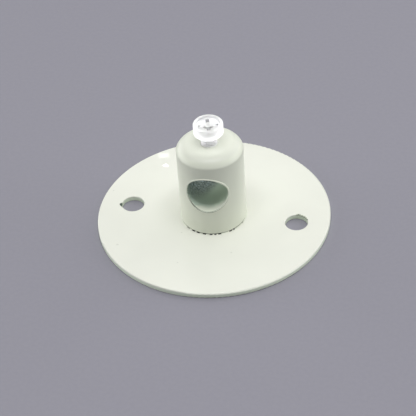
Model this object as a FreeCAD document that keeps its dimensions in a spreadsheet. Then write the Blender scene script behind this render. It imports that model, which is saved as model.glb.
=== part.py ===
"""Ceiling rose for a swagged lamp cord: a round screw-down plate, a domed post with a cross bore for the
cord, a plastic screw on the post's axis that clamps the cord, and a countersunk screw from behind that
holds the post on the plate.

The origin is the centre of the plate's back face. +Z points away from the ceiling, X runs through the two
fixing holes and the cord bore looks along -Y, turned a little with the post."""
import FreeCAD, Part
import os
import Sketcher

# Driving dimensions in millimetres and degrees. Heights on the post are counted from the plate's front face.
SIZES = {
    # base plate
    "plate_diameter": 70.5,
    "plate_thickness": 1.7,
    "plate_front_round": 0.4,
    "plate_back_round": 0.3,
    "hole_spacing": 50.8,
    "hole_diameter": 6.8,
    "hole_edge_round": 0.25,
    # post
    "post_diameter": 19.8,
    "post_side_height": 25.0,
    "dome_rise": 2.5,
    "dome_flat_diameter": 11.8,
    "shoulder_round": 1.0,
    "foot_bevel": 0.3,
    "bore_diameter": 12.0,
    "bore_height": 15.0,
    "bore_edge_round": 0.2,
    "post_turn": 5.0,
    # clamp screw
    "clamp_thread_diameter": 4.9,
    "clamp_shank_length": 12.0,
    "clamp_tip_bevel": 0.6,
    "clamp_head_diameter": 8.8,
    "clamp_head_height": 3.3,
    "clamp_head_round": 0.45,
    "clamp_standoff": 3.5,
    "clamp_turn": 18.0,
    "clamp_recess_span": 6.2,
    "clamp_recess_wing": 1.3,
    "clamp_recess_depth": 1.8,
    # screw that holds the post
    "fixing_thread_diameter": 4.0,
    "fixing_length": 8.0,
    "fixing_tip_bevel": 0.5,
    "fixing_head_diameter": 7.5,
    "fixing_head_sink": 0.1,
    "fixing_recess_span": 4.0,
    "fixing_recess_wing": 1.0,
    "fixing_recess_depth": 1.3,
    "recess_taper": 8.0,
    # fits
    "thread_clearance": 0.05,
    "seat_clearance": 0.05,
    "tip_clearance": 1.0,
    "thread_mouth_bevel": 0.3,
}

doc = FreeCAD.newDocument("ceiling_rose")
sheet = doc.addObject("Spreadsheet::Sheet", "sizes")
for row, (alias, number) in enumerate(SIZES.items(), start=1):
    sheet.set(f"A{row}", alias)
    sheet.set(f"B{row}", str(number))
    sheet.setAlias(f"B{row}", alias)
doc.recompute()

# Sizes that follow from the driving ones, as expressions on the sheet.
PLATE_RADIUS = "sizes.plate_diameter / 2"
POST_RADIUS = "sizes.post_diameter / 2"
DOME_FLAT_RADIUS = "sizes.dome_flat_diameter / 2"
POST_HEIGHT = "(sizes.post_side_height + sizes.dome_rise)"
CLAMP_RADIUS = "sizes.clamp_thread_diameter / 2"
CLAMP_HOLE_RADIUS = "(sizes.clamp_thread_diameter / 2 + sizes.thread_clearance)"
FIXING_RADIUS = "sizes.fixing_thread_diameter / 2"
FIXING_HOLE_RADIUS = "(sizes.fixing_thread_diameter / 2 + sizes.thread_clearance)"
FIXING_HEAD_RADIUS = "sizes.fixing_head_diameter / 2"
# The seat is a right-angled cone, so its radius at the plate's back grows by the depth that the head is sunk.
SEAT_RADIUS = "(sizes.fixing_head_diameter / 2 + sizes.fixing_head_sink + sizes.seat_clearance)"
SEAT_DEPTH = f"({SEAT_RADIUS} - {FIXING_HOLE_RADIUS})"
FIXING_HOLE_DEPTH = "(sizes.fixing_head_sink + sizes.fixing_length + sizes.tip_clearance)"
OVERCUT = "sizes.plate_thickness"


def value(expression):
    """The number that an expression on the sheet stands for."""
    return float(sheet.evalExpression(expression))


def new_body(name):
    body = doc.addObject("PartDesign::Body", name)
    body.Label = name
    return body


def new_sketch(body, name, plane, lift=None):
    """A sketch on one of the body's own origin planes, lifted along the plane's normal by an expression."""
    sketch = body.newObject("Sketcher::SketchObject", name)
    support = next(item for item in body.Origin.OriginFeatures if item.Role == plane)
    sketch.AttachmentSupport = [(support, "")]
    sketch.MapMode = "FlatFace"
    if lift is not None:
        sketch.setExpression("AttachmentOffset.Base.z", lift)
    return sketch


def fix_coordinate(sketch, kind, geometry, point, expression):
    """Holds one coordinate of a sketch point at an expression's value."""
    if expression == "0":
        axis = -2 if kind == "DistanceX" else -1
        sketch.addConstraint(Sketcher.Constraint("PointOnObject", geometry, point, axis))
        return
    index = sketch.addConstraint(Sketcher.Constraint(kind, -1, 1, geometry, point, value(expression)))
    sketch.setExpression(f"Constraints[{index}]", expression)


def draw_profile(sketch, corners, arc_after=None, arc_centre=None):
    """A closed outline through corners given as pairs of expressions. The side after corner arc_after, if
    one is given, is an arc whose centre lies at the expression arc_centre across the sketch."""
    points = [FreeCAD.Vector(value(across), value(up), 0) for across, up in corners]
    count = len(corners)
    # A polyline's sides start at their own corner; an arc runs counter-clockwise between its two ends.
    for side, start in enumerate(points):
        end = points[(side + 1) % count]
        if side == arc_after:
            centre_x = value(arc_centre)
            centre_y = (start.Length**2 - end.Length**2 - 2 * centre_x * (start.x - end.x)) / (2 * (start.y - end.y))
            centre = FreeCAD.Vector(centre_x, centre_y, 0)
            circle = Part.Circle(centre, FreeCAD.Vector(0, 0, 1), start.distanceToPoint(centre))
            sketch.addGeometry(Part.ArcOfCircle(circle, circle.parameter(start), circle.parameter(end)), False)
        else:
            sketch.addGeometry(Part.LineSegment(start, end), False)
    for side in range(count):
        sketch.addConstraint(Sketcher.Constraint("Coincident", side, 2, (side + 1) % count, 1))
    for side, (across, up) in enumerate(corners):
        fix_coordinate(sketch, "DistanceX", side, 1, across)
        fix_coordinate(sketch, "DistanceY", side, 1, up)
    if arc_after is not None:
        fix_coordinate(sketch, "DistanceX", arc_after, 3, arc_centre)


def draw_circle(sketch, across, up, diameter):
    centre = FreeCAD.Vector(value(across), value(up), 0)
    circle = Part.Circle(centre, FreeCAD.Vector(0, 0, 1), value(diameter) / 2)
    index = sketch.addGeometry(circle, False)
    fix_coordinate(sketch, "DistanceX", index, 3, across)
    fix_coordinate(sketch, "DistanceY", index, 3, up)
    size = sketch.addConstraint(Sketcher.Constraint("Diameter", index, value(diameter)))
    sketch.setExpression(f"Constraints[{size}]", diameter)


def turn_profile(body, name, kind, corners, **arc):
    """Revolves a half section about Z: kind is Revolution to add material or Groove to cut it."""
    sketch = new_sketch(body, name + "_section", "XZ_Plane")
    draw_profile(sketch, corners, **arc)
    doc.recompute()
    before = body.Shape.Volume if kind == "Groove" else 0
    feature = body.newObject("PartDesign::" + kind, name)
    feature.Profile = sketch
    feature.ReferenceAxis = (sketch, ["V_Axis"])
    feature.Angle = 360
    doc.recompute()
    if kind == "Groove" and not body.Shape.Volume < before:
        raise RuntimeError(f"{name} cuts nothing")
    return feature


def cut_pocket(body, name, sketch, depth=None):
    """Cuts a sketch's outline to a depth, or right through on both sides of its plane."""
    doc.recompute()
    before = body.Shape.Volume
    pocket = body.newObject("PartDesign::Pocket", name)
    pocket.Profile = sketch
    if depth is None:
        pocket.Type = "ThroughAll"
        pocket.Midplane = True
    else:
        pocket.setExpression("Length", depth)
    doc.recompute()
    if not body.Shape.Volume < before:
        raise RuntimeError(f"{name} cuts nothing")
    return pocket


def round_edges(body, name, radius, chosen):
    """Rounds the edges of the body's shape so far for which chosen(edge) is true."""
    edges = [f"Edge{index}" for index, edge in enumerate(body.Shape.Edges, start=1) if chosen(edge)]
    if not edges:
        raise RuntimeError(f"{name} finds no edge")
    base = body.Tip
    fillet = body.newObject("PartDesign::Fillet", name)
    fillet.Base = (base, edges)
    fillet.setExpression("Radius", radius)
    doc.recompute()
    return fillet


def is_ring(edge, radius, height=None):
    """True for a circle of the given radius, at the given height if there is one."""
    curve = edge.Curve
    if curve.TypeId != "Part::GeomCircle" or abs(curve.Radius - radius) > 1e-4:
        return False
    return height is None or abs(curve.Center.z - height) < 1e-4


def cross_recess(body, name, span, wing, depth, top):
    """A cross-shaped driver recess, narrowing downwards, in a head whose top face lies at height top."""
    sketch = new_sketch(body, name + "_outline", "XY_Plane", lift=top)
    far, near = f"{span} / 2", f"{wing} / 2"
    draw_profile(sketch, [
        (far, near), (near, near), (near, far),
        (f"-{near}", far), (f"-{near}", near), (f"-{far}", near),
        (f"-{far}", f"-{near}"), (f"-{near}", f"-{near}"), (f"-{near}", f"-{far}"),
        (near, f"-{far}"), (near, f"-{near}"), (far, f"-{near}"),
    ])
    pocket = cut_pocket(body, name, sketch, depth)
    pocket.setExpression("TaperAngle", "-sizes.recess_taper")
    doc.recompute()


def make_base_plate():
    body = new_body("base_plate")
    outline = new_sketch(body, "plate_outline", "XY_Plane")
    draw_circle(outline, "0", "0", "sizes.plate_diameter")
    disc = body.newObject("PartDesign::Pad", "plate_disc")
    disc.Profile = outline
    disc.setExpression("Length", "sizes.plate_thickness")
    doc.recompute()
    plate_radius, thickness = value(PLATE_RADIUS), value("sizes.plate_thickness")
    round_edges(body, "front_rim", "sizes.plate_front_round", lambda edge: is_ring(edge, plate_radius, thickness))
    round_edges(body, "back_rim", "sizes.plate_back_round", lambda edge: is_ring(edge, plate_radius, 0))
    holes = new_sketch(body, "fixing_hole_outlines", "XY_Plane")
    for across in ("sizes.hole_spacing / 2", "-sizes.hole_spacing / 2"):
        draw_circle(holes, across, "0", "sizes.hole_diameter")
    cut_pocket(body, "fixing_holes", holes)
    hole_radius = value("sizes.hole_diameter / 2")
    round_edges(body, "hole_rims", "sizes.hole_edge_round", lambda edge: is_ring(edge, hole_radius))
    turn_profile(body, "screw_seat", "Groove", [
        ("0", "0"),
        (SEAT_RADIUS, "0"),
        (FIXING_HOLE_RADIUS, SEAT_DEPTH),
        (FIXING_HOLE_RADIUS, f"{SEAT_DEPTH} + {OVERCUT}"),
        ("0", f"{SEAT_DEPTH} + {OVERCUT}"),
    ])
    return body


def make_post():
    body = new_body("post")
    turn_profile(body, "post_turning", "Revolution", [
        ("0", "0"),
        (f"{POST_RADIUS} - sizes.foot_bevel", "0"),
        (POST_RADIUS, "sizes.foot_bevel"),
        (POST_RADIUS, "sizes.post_side_height"),
        (DOME_FLAT_RADIUS, POST_HEIGHT),
        ("0", POST_HEIGHT),
    ], arc_after=3, arc_centre=DOME_FLAT_RADIUS)
    post_radius, shoulder = value(POST_RADIUS), value("sizes.post_side_height")
    round_edges(body, "shoulder", "sizes.shoulder_round", lambda edge: is_ring(edge, post_radius, shoulder))
    bore = new_sketch(body, "cord_bore_outline", "XZ_Plane")
    draw_circle(bore, "0", "sizes.bore_height", "sizes.bore_diameter")
    cut_pocket(body, "cord_bore", bore)

    def is_bore_mouth(edge):
        middle = edge.valueAt((edge.FirstParameter + edge.LastParameter) / 2)
        on_side = abs(FreeCAD.Vector(middle.x, middle.y, 0).Length - post_radius) < 1e-3
        return on_side and edge.Curve.TypeId not in ("Part::GeomCircle", "Part::GeomLine")

    round_edges(body, "bore_mouths", "sizes.bore_edge_round", is_bore_mouth)
    mouth = f"{CLAMP_HOLE_RADIUS} + sizes.thread_mouth_bevel"
    turn_profile(body, "clamp_hole", "Groove", [
        ("0", "sizes.bore_height"),
        (CLAMP_HOLE_RADIUS, "sizes.bore_height"),
        (CLAMP_HOLE_RADIUS, f"{POST_HEIGHT} - sizes.thread_mouth_bevel"),
        (mouth, POST_HEIGHT),
        ("0", POST_HEIGHT),
    ])
    turn_profile(body, "fixing_hole", "Groove", [
        ("0", "-sizes.plate_thickness"),
        (SEAT_RADIUS, "-sizes.plate_thickness"),
        (FIXING_HOLE_RADIUS, f"{SEAT_DEPTH} - sizes.plate_thickness"),
        (FIXING_HOLE_RADIUS, f"{FIXING_HOLE_DEPTH} - sizes.plate_thickness"),
        ("0", f"{FIXING_HOLE_DEPTH} - sizes.plate_thickness"),
    ])
    place(body, "sizes.plate_thickness", "sizes.post_turn")
    return body


def make_clamp_screw():
    """Cheese-head screw, drawn with its head's underside at zero."""
    body = new_body("clamp_screw")
    turn_profile(body, "clamp_turning", "Revolution", [
        ("0", "-sizes.clamp_shank_length"),
        (f"{CLAMP_RADIUS} - sizes.clamp_tip_bevel", "-sizes.clamp_shank_length"),
        (CLAMP_RADIUS, "sizes.clamp_tip_bevel - sizes.clamp_shank_length"),
        (CLAMP_RADIUS, "0"),
        ("sizes.clamp_head_diameter / 2", "0"),
        ("sizes.clamp_head_diameter / 2", "sizes.clamp_head_height"),
        ("0", "sizes.clamp_head_height"),
    ])
    head_radius, head_top = value("sizes.clamp_head_diameter / 2"), value("sizes.clamp_head_height")
    round_edges(body, "head_rim", "sizes.clamp_head_round", lambda edge: is_ring(edge, head_radius, head_top))
    cross_recess(body, "clamp_recess", "sizes.clamp_recess_span", "sizes.clamp_recess_wing",
                 "sizes.clamp_recess_depth", "sizes.clamp_head_height")
    place(body, f"sizes.plate_thickness + {POST_HEIGHT} + sizes.clamp_standoff", "sizes.clamp_turn")
    return body


def make_fixing_screw():
    """Countersunk screw, drawn head up with its head's face at zero and then turned over."""
    body = new_body("post_fixing_screw")
    turn_profile(body, "fixing_turning", "Revolution", [
        ("0", "-sizes.fixing_length"),
        (f"{FIXING_RADIUS} - sizes.fixing_tip_bevel", "-sizes.fixing_length"),
        (FIXING_RADIUS, "sizes.fixing_tip_bevel - sizes.fixing_length"),
        (FIXING_RADIUS, f"{FIXING_RADIUS} - {FIXING_HEAD_RADIUS}"),
        (FIXING_HEAD_RADIUS, "0"),
        ("0", "0"),
    ])
    cross_recess(body, "fixing_recess", "sizes.fixing_recess_span", "sizes.fixing_recess_wing",
                 "sizes.fixing_recess_depth", "0")
    place(body, "sizes.fixing_head_sink", "180", axis=FreeCAD.Vector(1, 0, 0))
    return body


def place(body, height, angle, axis=FreeCAD.Vector(0, 0, 1)):
    """Stands a body at a height on Z, turned about an axis through its own origin."""
    body.Placement = FreeCAD.Placement(FreeCAD.Vector(0, 0, value(height)), FreeCAD.Rotation(axis, value(angle)))
    body.setExpression("Placement.Base.z", height)
    if angle.startswith("sizes."):
        body.setExpression("Placement.Rotation.Angle", angle)


def check_document(bodies):
    for item in doc.Objects:
        if "Invalid" in item.State or "Error" in item.State:
            raise RuntimeError(f"{item.Label} did not build: {item.State}")
    for body in bodies:
        if body.Shape.isNull() or not body.Shape.isValid() or len(body.Shape.Solids) != 1:
            raise RuntimeError(f"{body.Label} is not one sound solid")


bodies = [make_base_plate(), make_post(), make_clamp_screw(), make_fixing_screw()]
doc.recompute()
check_document(bodies)
os.makedirs("parts", exist_ok=True)
for body in bodies:
    body.Shape.exportStep(f"parts/{body.Label}.step")
    print(body.Label, f"{body.Shape.Volume:.1f} mm3", body.Shape.BoundBox)
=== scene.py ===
import math

import bmesh
import bpy
from mathutils import Matrix, Vector


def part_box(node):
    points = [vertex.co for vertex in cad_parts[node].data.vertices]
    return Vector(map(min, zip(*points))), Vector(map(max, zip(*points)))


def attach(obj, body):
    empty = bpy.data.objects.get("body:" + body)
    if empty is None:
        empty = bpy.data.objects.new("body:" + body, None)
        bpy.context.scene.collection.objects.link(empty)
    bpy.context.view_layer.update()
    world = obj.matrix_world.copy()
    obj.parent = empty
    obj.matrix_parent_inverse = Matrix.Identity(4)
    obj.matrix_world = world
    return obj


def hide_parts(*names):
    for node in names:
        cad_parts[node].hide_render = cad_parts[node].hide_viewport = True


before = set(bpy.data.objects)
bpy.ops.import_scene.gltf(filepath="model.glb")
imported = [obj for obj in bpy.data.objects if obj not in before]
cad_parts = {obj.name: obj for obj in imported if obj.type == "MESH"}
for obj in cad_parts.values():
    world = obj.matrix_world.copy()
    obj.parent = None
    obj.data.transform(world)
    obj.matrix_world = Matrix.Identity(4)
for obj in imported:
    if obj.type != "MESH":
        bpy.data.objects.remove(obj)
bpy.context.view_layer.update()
MM = 0.001

# Sizes of the solids in millimetres and their angles, in the frame's own axes.
PLATE_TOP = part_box("base_plate")[1].z / MM
HOLE_OFFSET = 25.4
POST_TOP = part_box("post")[1].z / MM
POST_RADIUS = 9.9
POST_TURN = math.radians(5.0)
FOOT_BEVEL = 0.3
BORE_RADIUS = 6.0
BORE_HEIGHT = PLATE_TOP + 15.0
SCREW_TIP, SCREW_TOP = (corner.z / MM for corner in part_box("clamp_screw"))
SCREW_HEAD_RADIUS = 4.4
SCREW_HEAD_HEIGHT = 3.3
SCREW_HEAD_BASE = SCREW_TOP - SCREW_HEAD_HEIGHT
SCREW_TURN = math.radians(18.0)
THREAD_RADIUS = 2.45
TIP_BEVEL = 0.6
RECESS_SPAN = 6.2
RECESS_WING = 1.3
RECESS_DEPTH = 1.8
RECESS_TAPER = math.radians(8.0)

# Sizes of the details that only the scene has, in millimetres. The gap is the seam at the post's foot,
# painted in shadow. The underside of the screw's head is milky from the ring outwards. The well is the
# dish in its top, and painted shade lies in it on one side of the pip. A cutter stands proud of the face
# that it cuts.
GAP_HEIGHT = 0.42
GAP_WIDTH = 0.12
GAP_BLUR = 0.03
THREAD_DEPTH = 0.42
THREAD_PITCH = 0.8
MILKY_RING = 2.9
PIP_RADIUS = 1.2
PIP_SINK = 0.3
# The side of the pip on which its painted shade lies.
PIP_SHADE_SIDE = (0.27, -0.963, 0)
WELL_RADIUS = 3.5
WELL_DEPTH = 0.75
CUTTER_PROUD = 0.4
CRISP_ANGLE = math.radians(40)

# The photograph's viewpoint: direction from the plate to the camera, tilt, distance and lens.
AZIMUTH, ELEVATION, ROLL = math.radians(15.66), math.radians(40.91), math.radians(3.877)
BACK = Vector((
    math.sin(AZIMUTH) * math.cos(ELEVATION),
    -math.cos(AZIMUTH) * math.cos(ELEVATION),
    math.sin(ELEVATION),
))
DISTANCE = 453.8 * MM
AIM = Vector((0, 0, PLATE_TOP * MM))
SENSOR_WIDTH = 36.0
FOCAL_LENGTH = 129.7
SHIFT_X, SHIFT_Y = -0.0142, 0.0118
CLIP_START = 0.01

# Lights, in metres: the point that they face, and how far away a pane stands that is seen by reflection.
LIGHT_TARGET = (0, 0, 0.015)
PANE_DISTANCE = 0.75

# Colours, linear.
PAINT = (0.83, 0.845, 0.762)
# A greener copy of the plate's paint, as painted bounce light on the post.
BOUNCE_TINTED_POST_PAINT = (0.83, 0.868, 0.742)
# A lighter, greener copy of the paint: painted bounce light on the plate's shaded edge and hole walls.
EDGE_BOUNCE_TINT = (0.86, 0.95, 0.78)
# A darker copy of the post's paint: painted shade on the top of the dome.
DOME_PAINTED_SHADE = (0.752, 0.779, 0.683)
THIN_PAINT = (0.57, 0.67, 0.575)
# Painted light on the bore's wall that the light falls on.
BORE_LIT_WALL = (0.85, 0.96, 0.80)
SPECK = (0.30, 0.32, 0.26)
THIN_CHIP = (0.36, 0.42, 0.30)
DEEP_CHIP = (0.07, 0.10, 0.075)
# Bare metal, darker as painted shade deep in the bore.
BARE_METAL_AND_SHADE = (0.29, 0.34, 0.31)
ROUGH_METAL = (0.15, 0.19, 0.21)
BRIGHT_METAL = (0.52, 0.60, 0.66)
# Painted shade in a line around the bore's mouth.
MOUTH_SHADE_LINE = (0.16, 0.20, 0.15)
SHADOW_GAP = (0.012, 0.014, 0.011)
PLASTIC = (0.985, 0.985, 0.988)
PLASTIC_FLOW = (0.97, 0.97, 0.975)
MILKY_FLOW = (0.95, 0.95, 0.955)
# Painted shade in the screw's recess and beside its pip.
RECESS_SHADE = (0.10, 0.10, 0.10)
ZINC = (0.55, 0.56, 0.57)
FLOOR = (0.285, 0.280, 0.325)

# Roughness of the finishes, from the smoothest to the roughest place where it varies.
PLATE_ROUGHNESS = (0.35, 0.37)
POST_ROUGHNESS = (0.29, 0.31)
CHIP_ROUGHNESS = 0.6
BORE_ROUGHNESS = 0.55
HEAD_ROUGHNESS = (0.74, 0.80)
NECK_ROUGHNESS = 0.95
THREAD_ROUGHNESS = (0.35, 0.45)
ZINC_ROUGHNESS = (0.28, 0.42)
FLOOR_ROUGHNESS = 0.85

# Shader values that more than one finish takes.
PAINT_SPECULAR = 0.3
PLASTIC_IOR = 1.49


def shade(colour, share):
    """A colour with each part brought down to a share of itself."""
    return tuple(share * part for part in colour)


class Finish:
    """A material's node tree, with short calls for the nodes that the finishes share. Lengths are in
    millimetres, measured in the part's own frame."""

    def __init__(self, name):
        self.material = bpy.data.materials.new(name)
        self.material.use_nodes = True
        self.tree = self.material.node_tree
        self.tree.nodes.clear()
        self.shader = self.tree.nodes.new("ShaderNodeBsdfPrincipled")
        output = self.tree.nodes.new("ShaderNodeOutputMaterial")
        self.tree.links.new(self.shader.outputs["BSDF"], output.inputs["Surface"])
        place = self.tree.nodes.new("ShaderNodeTexCoord").outputs["Object"]
        self.place = self.vector("SCALE", place, scale=1 / MM)
        axes = self.tree.nodes.new("ShaderNodeSeparateXYZ")
        self.feed(axes.inputs[0], self.place)
        self.z = axes.outputs["Z"]

    def feed(self, socket, source):
        """Links a socket to another node's output, or sets it to a constant."""
        if isinstance(source, bpy.types.NodeSocket):
            self.tree.links.new(source, socket)
        else:
            socket.default_value = (*source, 1.0) if socket.type == "RGBA" else source

    def set(self, **inputs):
        """Sets or links the shader's inputs, given with underscores for spaces."""
        for name, source in inputs.items():
            self.feed(self.shader.inputs[name.replace("_", " ")], source)

    def math(self, operation, *sources):
        """An operation on numbers, by Blender's name for it."""
        node = self.tree.nodes.new("ShaderNodeMath")
        node.operation = operation
        for socket, source in zip(node.inputs, sources):
            self.feed(socket, source)
        return node.outputs[0]

    def product(self, *sources):
        """All the sources multiplied together."""
        total, *others = sources
        for source in others:
            total = self.math("MULTIPLY", total, source)
        return total

    def vector(self, operation, *sources, scale=None):
        """An operation on vectors, by Blender's name for it."""
        node = self.tree.nodes.new("ShaderNodeVectorMath")
        node.operation = operation
        for socket, source in zip(node.inputs, sources):
            self.feed(socket, source)
        if scale is not None:
            node.inputs["Scale"].default_value = scale
        gives_number = operation in ("LENGTH", "DISTANCE", "DOT_PRODUCT")
        return node.outputs["Value" if gives_number else "Vector"]

    def from_axis(self):
        """The distance from the Z axis."""
        return self.vector("LENGTH", self.vector("MULTIPLY", self.place, (1, 1, 0)))

    def ramp(self, source, low, high, start=0.0, end=1.0):
        """Eases from start to end while source goes from low to high."""
        node = self.tree.nodes.new("ShaderNodeMapRange")
        node.interpolation_type = "SMOOTHSTEP"
        for socket, value in zip(node.inputs, (source, low, high, start, end)):
            self.feed(socket, value)
        return node.outputs[0]

    def noise(self, size, detail, roughness=0.5):
        """Noise from 0 to 1 whose features are about size millimetres wide."""
        node = self.tree.nodes.new("ShaderNodeTexNoise")
        self.feed(node.inputs["Vector"], self.place)
        node.inputs["Scale"].default_value = 1 / size
        node.inputs["Detail"].default_value = detail
        node.inputs["Roughness"].default_value = roughness
        return node.outputs["Fac"]

    def patches(self, noise, start=0.0, end=1.0):
        """Eases from start to end over the middle of a noise's range, where most of its values lie."""
        return self.ramp(noise, 0.3, 0.7, start, end)

    def mix(self, share, first, second):
        """The colour first where share is 0, turning to second where it is 1."""
        node = self.tree.nodes.new("ShaderNodeMix")
        node.data_type = "RGBA"
        for index, source in ((0, share), (6, first), (7, second)):
            self.feed(node.inputs[index], source)
        return node.outputs[2]

    def blend(self, share, first, second):
        """The number first where share is 0, turning to second where it is 1."""
        node = self.tree.nodes.new("ShaderNodeMix")
        for index, source in ((0, share), (2, first), (3, second)):
            self.feed(node.inputs[index], source)
        return node.outputs[0]

    def bump(self, height, distance, strength, onto=None):
        """Raises the surface by height times distance millimetres."""
        node = self.tree.nodes.new("ShaderNodeBump")
        node.inputs["Strength"].default_value = strength
        node.inputs["Distance"].default_value = distance * MM
        self.feed(node.inputs["Height"], height)
        if onto is not None:
            self.feed(node.inputs["Normal"], onto)
        return node.outputs[0]

    def spots(self, marks, ragged):
        """1 inside any of the marks and 0 outside. Each is (x, y, depth below the plate's front, radius),
        and the noise given as ragged frays their edges."""
        blur = 0.15
        total = None
        for x, y, depth, radius in marks:
            away = self.vector("DISTANCE", self.place, (x, y, PLATE_TOP - depth))
            away = self.math("ADD", away, self.product(ragged, radius))
            inside = self.ramp(away, radius * (1 + blur), radius * (1 - blur))
            total = inside if total is None else self.math("MAXIMUM", total, inside)
        return total


def paint_coat(finish, paint, limits):
    """Gloss paint: a slightly uneven white, a faint orange peel and a skin whose roughness wanders between
    its limits. Returns the colour, the roughness and the bump, for marks to go on top."""
    cloud = finish.noise(size=14.0, detail=3.0)
    colour = finish.mix(finish.patches(cloud), paint, shade(paint, 0.975))
    roughness = finish.patches(finish.noise(size=9.0, detail=1.0), *limits)
    peel = finish.bump(finish.noise(size=2.2, detail=1.5), distance=0.004, strength=0.4)
    return colour, roughness, peel


def plate_finish():
    """White gloss paint, lighter and greener on its edge as painted bounce light, with a few specks, chips
    at the fixing holes and painted shadow in the seam at the post's foot."""
    finish = Finish("plate_paint")
    colour, roughness, peel = paint_coat(finish, PAINT, PLATE_ROUGHNESS)
    ragged = finish.math("SUBTRACT", finish.noise(size=0.8, detail=4.0), 0.5)
    left, right = -HOLE_OFFSET, HOLE_OFFSET
    bare = finish.spots([
        (left - 3.7, -0.75, 0, 0.42),
        (left - 3.45, -1.15, 0.1, 0.42),
        (left - 3.2, -1.5, 0.1, 0.30),
        (right, 3.62, 0, 0.22),
        (right + 2.9, 1.85, 0.15, 0.25),
    ], ragged)
    worn = finish.spots([
        (right - 0.35, 3.5, 0.1, 0.35),
        (right + 0.35, 3.45, 0.1, 0.42),
        (right + 1.1, 3.25, 0.1, 0.40),
        (right + 1.8, 2.9, 0.1, 0.40),
        (right + 2.4, 2.4, 0.1, 0.38),
        (left - 2.9, -1.75, 0.2, 0.5),
        (left - 3.35, -0.3, 0.3, 0.45),
    ], ragged)
    specks = finish.spots([
        (-25.1, -18.8, 0, 0.35),
        (9.1, -16.4, 0, 0.28),
        (-5.5, -23.3, 0, 0.25),
        (-7.5, -10.3, 0, 0.25),
        (-33.1, 5.0, 0, 0.25),
    ], ragged)
    on_edge = finish.product(
        finish.ramp(finish.z, PLATE_TOP - 0.15, PLATE_TOP - 0.5),
        finish.ramp(finish.z, 0.05, 0.3),
    )
    # The plate under the post and a thin ring around its foot are painted in shadow.
    seam = POST_RADIUS + GAP_WIDTH
    under_post_shadow = finish.product(
        finish.ramp(finish.from_axis(), seam + GAP_BLUR, seam - GAP_BLUR),
        finish.math("GREATER_THAN", finish.z, PLATE_TOP - 0.3),
    )
    speck_strength, worn_strength = 0.2, 0.75
    # The edge and hole walls take a lighter, greener copy of the paint as painted bounce light.
    colour = finish.mix(on_edge, colour, EDGE_BOUNCE_TINT)
    colour = finish.mix(finish.product(specks, speck_strength), colour, SPECK)
    colour = finish.mix(finish.product(worn, worn_strength), colour, THIN_CHIP)
    colour = finish.mix(bare, colour, DEEP_CHIP)
    finish.set(
        Base_Color=finish.mix(under_post_shadow, colour, SHADOW_GAP),
        Roughness=finish.blend(bare, roughness, CHIP_ROUGHNESS),
        Specular_IOR_Level=PAINT_SPECULAR,
        Coat_Weight=0.3,
        Coat_Roughness=0.015,
        Normal=finish.bump(bare, distance=-0.12, strength=1.0, onto=peel),
    )
    return finish.material


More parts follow.
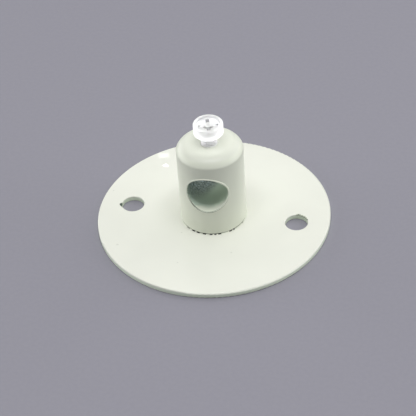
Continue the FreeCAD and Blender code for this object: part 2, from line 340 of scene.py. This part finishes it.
def post_finish():
    """Gloss paint a little greener than the plate's as painted bounce light, with painted shade on the
    dome, and overspray that thins out inside the bore over bare drilled metal, with painted light on one
    wall and painted shade deeper in."""
    finish = Finish("post_paint")
    # The post's paint is a greener copy of the plate's: painted bounce light.
    colour, roughness, peel = paint_coat(finish, BOUNCE_TINTED_POST_PAINT, POST_ROUGHNESS)
    # The top of the dome is painted in shade, a darker copy of the paint.
    dome_shade = finish.ramp(finish.z, POST_TOP - 1.6, POST_TOP - 0.6)
    colour = finish.mix(dome_shade, colour, DOME_PAINTED_SHADE)
    # Where a point lies in the bore: across it, along it towards the front, above and off its axis, and
    # how deep in from the post's side.
    across = finish.vector("DOT_PRODUCT", finish.place, (math.cos(POST_TURN), math.sin(POST_TURN), 0))
    along = finish.vector("DOT_PRODUCT", finish.place, (math.sin(POST_TURN), -math.cos(POST_TURN), 0))
    above = finish.math("SUBTRACT", finish.z, BORE_HEIGHT)
    across_squared = finish.math("POWER", across, 2.0)
    above_squared = finish.math("POWER", above, 2.0)
    off_axis = finish.math("SQRT", finish.math("ADD", across_squared, above_squared))
    half_chord = finish.math("SQRT", finish.math("SUBTRACT", POST_RADIUS**2, across_squared))
    depth = finish.math("SUBTRACT", half_chord, finish.math("ABSOLUTE", along))
    in_bore = finish.math("LESS_THAN", off_axis, BORE_RADIUS + 0.1)
    # Paint reaches far in on the floor of the bore, more on the side that faced the spray, and hardly at
    # all on its roof.
    floor_reach, roof_reach, spray_lean = 3.3, 0.45, 0.28
    shelter = finish.math("SUBTRACT", above, finish.product(across, spray_lean))
    reach = finish.ramp(shelter, -5.6, -3.3, floor_reach, roof_reach)
    mottle = finish.noise(size=0.55, detail=5.0, roughness=0.65)
    frayed_depth = finish.math("ADD", depth, finish.math("SUBTRACT", mottle, 0.5))
    thin = finish.ramp(finish.math("DIVIDE", frayed_depth, reach), 0.35, 1.0)
    bare = finish.product(thin, in_bore)
    # That side is painted lighter further in, as painted light where light falls on its wall. The other
    # side is bare, torn by the drill, and painted darker further in as painted shade in the depth.
    inside = finish.mix(finish.ramp(across, -3.0, 4.5), THIN_PAINT, BORE_LIT_WALL)
    bare_lean = 1.85
    from_front = finish.math("SUBTRACT", half_chord, along)
    far_in = finish.math("SUBTRACT", from_front, finish.product(across, bare_lean))
    inside = finish.mix(finish.ramp(far_in, 8.0, 16.0), inside, BARE_METAL_AND_SHADE)
    torn = finish.ramp(far_in, 8.5, 17.0)
    inside = finish.mix(finish.product(torn, finish.ramp(mottle, 0.5, 0.62)), inside, ROUGH_METAL)
    inside = finish.mix(finish.product(torn, finish.ramp(mottle, 0.5, 0.38)), inside, BRIGHT_METAL)
    # A line around the mouth, mostly on its lower side, is painted in shade, as under the edge of a lip.
    worn_strength = 0.85
    low_side = finish.math("ADD", finish.product(above, -1.0), finish.product(across, -0.1))
    worn = finish.product(
        finish.ramp(off_axis, BORE_RADIUS + 0.50, BORE_RADIUS + 0.38),
        finish.ramp(off_axis, BORE_RADIUS + 0.02, BORE_RADIUS + 0.06),
        finish.ramp(low_side, -0.4, 3.0, 0.0, worn_strength),
        finish.math("LESS_THAN", depth, 0.5),
    )
    # The gap under the foot is painted in shadow wherever the paint has not bridged it.
    gap_top = PLATE_TOP + GAP_HEIGHT
    gap_shadow = finish.ramp(finish.z, gap_top + GAP_BLUR, gap_top - GAP_BLUR)
    colour = finish.mix(worn, finish.mix(bare, colour, inside), MOUTH_SHADE_LINE)
    finish.set(
        Base_Color=finish.mix(gap_shadow, colour, SHADOW_GAP),
        Roughness=finish.blend(bare, roughness, BORE_ROUGHNESS),
        Specular_IOR_Level=PAINT_SPECULAR,
        Normal=finish.bump(finish.product(mottle, bare), distance=0.10, strength=0.7, onto=peel),
    )
    return finish.material


def bead_finish():
    """The post's paint, with its painted bounce tint, without its marks."""
    finish = Finish("bead_paint")
    # The same greener copy of the paint as the post's: painted bounce light.
    colour, roughness, peel = paint_coat(finish, BOUNCE_TINTED_POST_PAINT, POST_ROUGHNESS)
    finish.set(Base_Color=colour, Roughness=roughness, Specular_IOR_Level=PAINT_SPECULAR, Normal=peel)
    return finish.material


def flow_marks(finish):
    """The faint marks that moulded plastic keeps, as a noise and as its bump."""
    flow = finish.noise(size=1.4, detail=3.0, roughness=0.6)
    return flow, finish.bump(flow, distance=0.02, strength=0.5)


def plastic_finish():
    """Frosted clear plastic with faint flow marks, roughest on the neck. It has painted shade at the ends
    of the recess's arms, and in the dish on one side of the pip."""
    finish = Finish("frosted_plastic")
    flow, marks = flow_marks(finish)
    from_axis = finish.from_axis()
    in_head = finish.math("GREATER_THAN", finish.z, SCREW_HEAD_BASE + 0.1)
    on_neck = finish.math("LESS_THAN", finish.z, SCREW_HEAD_BASE - 0.05)
    # The ends of the recess's arms and the dish on one side of the pip are painted in shade.
    arm_ends = finish.product(
        finish.ramp(from_axis, 2.0, 2.8),
        finish.math("LESS_THAN", from_axis, RECESS_SPAN / 2 + 0.1),
        finish.ramp(finish.z, SCREW_TOP - 0.80, SCREW_TOP - 1.10),
        in_head,
    )
    beside_pip = finish.product(
        finish.ramp(from_axis, 1.9, 1.6),
        finish.ramp(from_axis, 1.05, 1.18),
        finish.ramp(finish.vector("DOT_PRODUCT", finish.place, PIP_SHADE_SIDE), 0.4, 1.0),
        finish.ramp(finish.z, SCREW_TOP - 0.45, SCREW_TOP - 0.65),
        in_head,
    )
    recess_shade_strength = 0.85
    recess_shade = finish.product(finish.math("MAXIMUM", arm_ends, beside_pip), recess_shade_strength)
    colour = finish.mix(finish.patches(flow), PLASTIC, PLASTIC_FLOW)
    finish.set(
        Base_Color=finish.mix(recess_shade, colour, RECESS_SHADE),
        Roughness=finish.blend(on_neck, finish.ramp(flow, 0.2, 0.8, *HEAD_ROUGHNESS), NECK_ROUGHNESS),
        Normal=marks,
        IOR=PLASTIC_IOR,
        Transmission_Weight=1.0,
    )
    return finish.material


def thread_finish():
    """The same plastic where the thread's flanks and the rough underside of the rim turn it milky."""
    finish = Finish("milky_thread")
    flow, marks = flow_marks(finish)
    finish.set(
        Base_Color=finish.mix(finish.patches(flow), PLASTIC, MILKY_FLOW),
        Roughness=finish.ramp(flow, 0.2, 0.8, *THREAD_ROUGHNESS),
        Normal=marks,
        IOR=PLASTIC_IOR,
    )
    return finish.material


def zinc_finish():
    """Zinc-plated steel with a fine uneven grain."""
    finish = Finish("zinc_plate")
    grain = finish.noise(size=0.35, detail=4.0)
    cloud = finish.noise(size=2.5, detail=2.0)
    finish.set(
        Base_Color=finish.mix(finish.patches(cloud), ZINC, shade(ZINC, 0.8)),
        Roughness=finish.ramp(grain, 0.25, 0.75, *ZINC_ROUGHNESS),
        Normal=finish.bump(grain, distance=0.01, strength=0.5),
        Metallic=1.0,
    )
    return finish.material


def floor_finish():
    """Plain card with a faint grain."""
    finish = Finish("floor_card")
    grain = finish.noise(size=1.2, detail=3.0)
    colour = finish.mix(finish.patches(grain), FLOOR, shade(FLOOR, 0.97))
    finish.set(Base_Color=colour, Roughness=FLOOR_ROUGHNESS)
    return finish.material


def polar(radius, angle, height):
    """The point at a radius and an angle about the Z axis."""
    return (radius * math.cos(angle), radius * math.sin(angle), height)


def full_turn(steps):
    """Angles that divide a full turn into equal steps."""
    return [2 * math.pi * step / steps for step in range(steps)]


def quarter_turn(steps):
    """Angles from 0 to 90 degrees, both included, in equal steps."""
    return [math.pi / 2 * step / steps for step in range(steps + 1)]


def turned(outline, columns):
    """A ring about the Z axis for each (radius, height) of an outline."""
    return [[polar(radius, angle, height) for angle in full_turn(columns)] for radius, height in outline]


def skin(work, loops, closed=False):
    """Faces from each loop of points to the next, and from the last back to the first if closed."""
    onward = loops[1:] + loops[:1] if closed else loops[1:]
    for loop, after in zip(loops, onward):
        for index in range(len(loop)):
            follow = (index + 1) % len(loop)
            work.faces.new((loop[index], loop[follow], after[follow], after[index]))


def mesh_from(work, name):
    """Turns a bmesh into a mesh, and frees it."""
    mesh = bpy.data.meshes.new(name)
    work.to_mesh(mesh)
    work.free()
    return mesh


def loft_rings(rings):
    """A closed mesh through rings of equal point counts, capped at both ends."""
    work = bmesh.new()
    loops = [[work.verts.new(Vector(point) * MM) for point in ring] for ring in rings]
    skin(work, loops)
    work.faces.new(list(reversed(loops[0])))
    work.faces.new(loops[-1])
    return mesh_from(work, "lofted")


def cut_mesh(mesh, cutter_mesh):
    """The first mesh with the second cut out of it."""
    blank = bpy.data.objects.new("blank", mesh)
    cutter = bpy.data.objects.new("cutter", cutter_mesh)
    for item in (blank, cutter):
        bpy.context.scene.collection.objects.link(item)
    cut = blank.modifiers.new("cut", "BOOLEAN")
    cut.operation = "DIFFERENCE"
    cut.solver = "EXACT"
    cut.object = cutter
    shaped = bpy.data.meshes.new_from_object(blank.evaluated_get(bpy.context.evaluated_depsgraph_get()))
    for item in (blank, cutter):
        bpy.data.objects.remove(item)
    return shaped


def thread_radius(angle, height):
    """Radius of the screw's rounded thread, which runs out under the head and at the bevelled tip."""
    run_out, flank_power = 1.6, 0.7
    turns = (height - SCREW_TIP) / THREAD_PITCH - angle / (2 * math.pi)
    groove = 0.5 - 0.5 * math.cos(2 * math.pi * turns)
    below_head = (SCREW_HEAD_BASE - height) / THREAD_PITCH
    under_head = max(0.0, min(1.0, run_out - below_head))
    crest = THREAD_RADIUS - max(0.0, TIP_BEVEL - (height - SCREW_TIP))
    return min(crest, THREAD_RADIUS - THREAD_DEPTH * max(under_head, groove**flank_power))


def screw_mesh():
    """The clamp screw: a threaded shank with a bevelled tip, and a cheese head with a dish, a cross
    recess and a pip in it."""
    columns, steps_per_turn, corner_steps = 96, 14, 6
    rim_round, edge_round = 0.45, 0.15
    shank = SCREW_HEAD_BASE - SCREW_TIP
    steps = int(shank / THREAD_PITCH * steps_per_turn)
    heights = [SCREW_TIP + shank * step / steps for step in range(steps + 1)]
    rings = [
        [polar(thread_radius(angle, height), angle, height) for angle in full_turn(columns)]
        for height in heights
    ]
    underside = [
        (MILKY_RING, SCREW_HEAD_BASE),
        (SCREW_HEAD_RADIUS - edge_round, SCREW_HEAD_BASE),
        (SCREW_HEAD_RADIUS, SCREW_HEAD_BASE + edge_round),
    ]
    rim = [
        (
            SCREW_HEAD_RADIUS - rim_round * (1 - math.cos(turn)),
            SCREW_TOP - rim_round * (1 - math.sin(turn)),
        )
        for turn in quarter_turn(corner_steps)
    ]
    screw = loft_rings(rings + turned(underside + rim, columns))
    for hollow in (recess_mesh(), well_mesh()):
        screw = cut_mesh(screw, cut_mesh(hollow, pip_mesh()))
    return screw


def pip_mesh():
    """The round pip that stands in the middle of the recess, where the plastic was let into the mould."""
    columns, dome_steps = 48, 8
    dome_rise, below_recess, tip_radius = 0.3, 0.2, 0.02
    low, high = SCREW_TOP - RECESS_DEPTH - below_recess, SCREW_TOP - PIP_SINK
    dome = [
        (PIP_RADIUS * math.cos(turn), high - dome_rise * (1 - math.sin(turn)))
        for turn in quarter_turn(dome_steps)[:-1]
    ]
    return loft_rings(turned([(PIP_RADIUS, low), *dome, (tip_radius, high)], columns))


def well_mesh():
    """The shallow dish in the top of the head, a little wider at its mouth."""
    columns, flare = 48, 0.12
    outline = [
        (WELL_RADIUS - flare, SCREW_TOP - WELL_DEPTH),
        (WELL_RADIUS, SCREW_TOP),
        (WELL_RADIUS, SCREW_TOP + CUTTER_PROUD),
    ]
    return loft_rings(turned(outline, columns))


def recess_mesh():
    """A tapered cross that stands a little out of the screw's head."""

    def outline(height):
        """The cross's corners at a height."""
        shrink = math.tan(RECESS_TAPER) * (SCREW_TOP - height)
        far, near = RECESS_SPAN / 2 - shrink, RECESS_WING / 2 - shrink
        arm = [(far, -near), (far, near), (near, near)]
        quarters = [Matrix.Rotation(math.pi / 2 * turn, 2) for turn in range(4)]
        points = [quarter @ Vector(corner) for quarter in quarters for corner in arm]
        return [(*(Matrix.Rotation(SCREW_TURN, 2) @ point), height) for point in points]

    return loft_rings([outline(SCREW_TOP - RECESS_DEPTH), outline(SCREW_TOP + CUTTER_PROUD)])


def paint_bead_mesh():
    """The bead of paint that fills the seam under the post's foot. It has sunk along its cracks, each
    given as start and end in degrees about Z and the share of its height that is lost."""
    cracks = [
        (-168, -130, 0.4), (-130, -123, 0.9), (-123, -117, 0.4), (-117, -111, 1), (-111, -108, 0.5),
        (-108, -102, 1), (-102, -96, 0.5), (-96, -90, 1), (-90, -84, 0.5), (-84, -79, 1), (-79, -76, 0.5),
        (-76, -72, 1), (-72, -69, 0.5), (-69, -64, 1), (-64, -49, 0.35), (-49, -44, 1), (-44, -41, 0.5),
        (-41, -38, 1), (-38, -35, 0.4), (-35, -19, 0.6), (-19, -15, 0.9), (-15, -6, 0.4),
        (22, 25, 1), (51, 53, 1), (88, 92, 1), (131, 134, 1), (162, 165, 1),
    ]
    steps, dip, film = 480, 0.05, 0.02
    full_rise, full_spread = GAP_HEIGHT + 0.06, GAP_WIDTH + 0.08
    buried, narrow_from, hollow = -0.6 * dip, 0.8, 0.35
    work = bmesh.new()
    loops = []
    for step in range(steps):
        degrees = -180 + 360 * step / steps
        sunk = max((share for start, end, share in cracks if start <= degrees < end), default=0.0)
        rise = full_rise * (1 - sunk) if sunk < 1 else buried
        spread = full_spread if sunk < narrow_from else film
        # The section has a foot sunk into the plate, a hollow face, and a top that leans on the post.
        section = [
            (POST_RADIUS - FOOT_BEVEL * 0.9, PLATE_TOP - dip),
            (POST_RADIUS + spread, PLATE_TOP - dip),
            (POST_RADIUS + spread, PLATE_TOP + min(film, rise)),
            (POST_RADIUS + spread * hollow, PLATE_TOP + rise * hollow),
            (POST_RADIUS + film, PLATE_TOP + rise),
            (POST_RADIUS - FOOT_BEVEL * 0.3, PLATE_TOP + rise * 0.8),
        ]
        points = [polar(radius, math.radians(degrees), height) for radius, height in section]
        loops.append([work.verts.new(Vector(point) * MM) for point in points])
    skin(work, loops, closed=True)
    bmesh.ops.recalc_face_normals(work, faces=work.faces)
    return mesh_from(work, "paint_bead")


def mouth_lip_mesh():
    """The fat edges of paint that stand a little proud around the bore's two mouths."""
    steps, sides = 144, 10
    ring_radius, stand_out = BORE_RADIUS + 0.22, POST_RADIUS - 0.06
    # The lip is thickest at one place on its upper side, and uneven by ripples of (height, waves, start).
    least, swelling, thickest_at = 0.07, 0.21, math.radians(55)
    ripples = [(0.02, 3, 0.7), (0.015, 7, 2.1)]
    turn = Matrix.Rotation(POST_TURN, 3, "Z")
    work = bmesh.new()
    for facing in (-1, 1):
        loops = []
        for around in full_turn(steps):
            across, above = ring_radius * math.cos(around), ring_radius * math.sin(around)
            centre = Vector((across, facing * math.sqrt(stand_out**2 - across**2), BORE_HEIGHT + above))
            outward = Vector((centre.x, centre.y, 0)).normalized()
            rim = Vector((math.cos(around), 0, math.sin(around)))
            rim = (rim - outward * rim.dot(outward)).normalized()
            thick = least + swelling * (0.5 + 0.5 * math.cos(around - thickest_at))
            thick += sum(height * math.sin(waves * around + start) for height, waves, start in ripples)
            points = [
                centre + thick * (math.cos(angle) * outward + math.sin(angle) * rim)
                for angle in full_turn(sides)
            ]
            loops.append([work.verts.new(turn @ point * MM) for point in points])
        skin(work, loops, closed=True)
    bmesh.ops.recalc_face_normals(work, faces=work.faces)
    return mesh_from(work, "mouth_lips")


def new_piece(name, mesh, body, material):
    """Links a mesh into the scene as a smooth piece of the object that rides on a body. Its edges stay
    crisp where they are sharp."""
    mesh.shade_smooth()
    mesh.set_sharp_from_angle(angle=CRISP_ANGLE)
    piece = bpy.data.objects.new(name, mesh)
    bpy.context.scene.collection.objects.link(piece)
    piece.data.materials.clear()
    piece.data.materials.append(material)
    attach(piece, body)
    return piece


def turn_milky(screw):
    """Gives the second material to the faces that are inside the post at rest or under the head's rim."""
    for face in screw.data.polygons:
        middle = face.center / MM
        on_thread = middle.z < POST_TOP - 0.1
        faces_down = face.normal.z < -0.5 and middle.z < SCREW_HEAD_BASE + 0.2
        under_rim = faces_down and middle.xy.length > MILKY_RING
        face.material_index = int(on_thread or under_rim)


def dress_object():
    """Gives the solids their finishes, and adds the pieces that only the scene has."""
    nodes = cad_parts
    for node, material in (
        ("base_plate", plate_finish()),
        ("post", post_finish()),
        ("post_fixing_screw", zinc_finish()),
    ):
        nodes[node].data.materials.clear()
        nodes[node].data.materials.append(material)
    plastic = plastic_finish()
    screw = new_piece("threaded_clamp_screw", screw_mesh(), "clamp_screw", plastic)
    screw.data.materials.append(thread_finish())
    turn_milky(screw)
    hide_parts("clamp_screw")
    paint = bead_finish()
    new_piece("foot_paint_bead", paint_bead_mesh(), "rose", paint)
    new_piece("bore_mouth_lips", mouth_lip_mesh(), "rose", paint)


def make_floor():
    """A plain pale card, a hair above the plate's back so that the two faces never share a plane."""
    half, height = 4.0, 0.04 * MM
    corners = [(-half, -half, height), (half, -half, height), (half, half, height), (-half, half, height)]
    mesh = bpy.data.meshes.new("floor")
    mesh.from_pydata(corners, [], [(0, 1, 2, 3)])
    floor = bpy.data.objects.new("floor", mesh)
    bpy.context.scene.collection.objects.link(floor)
    floor.data.materials.append(floor_finish())


def area_light(name, place, size, watts, target=LIGHT_TARGET):
    """A rectangular white light that faces its target."""
    light = bpy.data.lights.new(name, "AREA")
    light.shape = "RECTANGLE"
    light.size, light.size_y = size
    light.energy = watts
    lamp = bpy.data.objects.new(name, light)
    bpy.context.scene.collection.objects.link(lamp)
    lamp.location = place
    lamp.rotation_euler = (Vector(target) - Vector(place)).to_track_quat("-Z", "Y").to_euler()


def camera_place():
    """The photograph's viewpoint, in metres."""
    return AIM + BACK * DISTANCE


def mirror_light(name, spot, size, watts):
    """A small pane whose reflection shows at a spot of the plate's front face, given in millimetres."""
    place = Vector((*spot, PLATE_TOP)) * MM
    sight = (place - camera_place()).normalized()
    bounced = Vector((sight.x, sight.y, -sight.z))
    area_light(name, place + bounced * PANE_DISTANCE, size, watts, target=place)


def pale_world(lit, shown):
    """A white surround that lights the object at one strength, and shows at another to the camera and
    through clear plastic."""
    world = bpy.data.worlds.new("studio")
    world.use_nodes = True
    tree = world.node_tree
    rays = tree.nodes.new("ShaderNodeLightPath").outputs
    seen = tree.nodes.new("ShaderNodeMath")
    seen.operation = "MAXIMUM"
    strength = tree.nodes.new("ShaderNodeMapRange")
    strength.inputs["To Min"].default_value = lit
    strength.inputs["To Max"].default_value = shown
    background = tree.nodes["Background"]
    background.inputs["Color"].default_value = (1.0, 1.0, 1.0, 1.0)
    tree.links.new(rays["Is Camera Ray"], seen.inputs[0])
    tree.links.new(rays["Is Transmission Ray"], seen.inputs[1])
    tree.links.new(seen.outputs[0], strength.inputs["Value"])
    tree.links.new(strength.outputs[0], background.inputs["Strength"])
    return world


def light_scene():
    """Soft light from above and all around, and two panes that show as bright spots on the plate."""
    bpy.context.scene.world = pale_world(lit=0.15, shown=1.0)
    for name, place, size, watts in (
        ("overhead_panel", (0.06, -0.17, 1.0), (0.7, 0.3), 5.75),
        ("back_window", (-0.1, 0.62, 0.85), (1.1, 0.6), 2.1),
        ("left_window", (-0.97, 0.1, 0.22), (1.4, 0.42), 5.7),
        ("right_window", (0.75, 0.2, 0.7), (0.6, 0.6), 0.4),
        ("right_fill", (0.95, 0.1, 0.25), (0.5, 0.5), 1.9),
        ("right_back_window", (0.7, 0.7, 0.5), (0.9, 0.8), 3.5),
    ):
        area_light(name, place, size, watts)
    mirror_light("high_pane", (-22.1, 24.3), (0.0082, 0.0040), 0.0012)
    mirror_light("low_pane", (-20.1, 19.7), (0.0032, 0.0018), 0.0018)


def set_camera():
    """The photograph's view, aimed at the centre of the plate's front face."""
    camera = bpy.data.cameras.new("camera")
    camera.sensor_width = SENSOR_WIDTH
    camera.lens = FOCAL_LENGTH
    camera.shift_x = SHIFT_X
    camera.shift_y = SHIFT_Y
    camera.clip_start = CLIP_START
    view = bpy.data.objects.new("camera", camera)
    bpy.context.scene.collection.objects.link(view)
    view.location = camera_place()
    facing = (-BACK).to_track_quat("-Z", "Y").to_matrix()
    view.rotation_euler = (facing @ Matrix.Rotation(-ROLL, 3, "Z")).to_euler()
    bpy.context.scene.camera = view


dress_object()
make_floor()
light_scene()
set_camera()
bpy.context.scene.view_settings.view_transform = "Standard"
